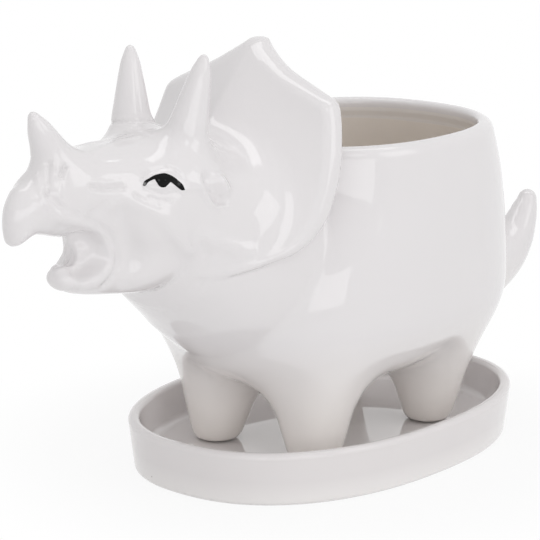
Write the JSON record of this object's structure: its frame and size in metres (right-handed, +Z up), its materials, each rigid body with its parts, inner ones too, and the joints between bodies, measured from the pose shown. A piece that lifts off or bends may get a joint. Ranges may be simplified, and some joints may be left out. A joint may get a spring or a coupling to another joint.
{
  "type": "animal shaped planter",
  "caption": "Glazed ceramic planter shaped like a standing horned dinosaur with an open pot in its back, resting in an oval drip saucer.",
  "frame": {"origin": "middle of the saucer's flat underside, on the surface it stands on", "axes": "+Z up; the animal's head points along -X and its tail along +X; its left side is -Y"},
  "size_m": [0.2337, 0.09, 0.1248],
  "materials": {
    "planter_glaze": "gloss",
    "saucer_glaze": "gloss"
  },
  "bodies": {
    "saucer": {"saucer": "saucer_glaze"},
    "planter": {"pot_body": "planter_glaze", "head": "planter_glaze", "lower_jaw": "planter_glaze", "frill": "planter_glaze", "nose_horn": "planter_glaze", "brow_horn_left": "planter_glaze", "brow_horn_right": "planter_glaze", "leg_front_left": "planter_glaze", "leg_front_right": "planter_glaze", "leg_rear_left": "planter_glaze", "leg_rear_right": "planter_glaze", "tail": "planter_glaze"}
  },
  "joints": [
    {"name": "planter_lift", "type": "slide", "parent": "saucer", "child": "planter", "axis": [0, 0, 1], "range_m": [0, 0.06]}
  ]
}
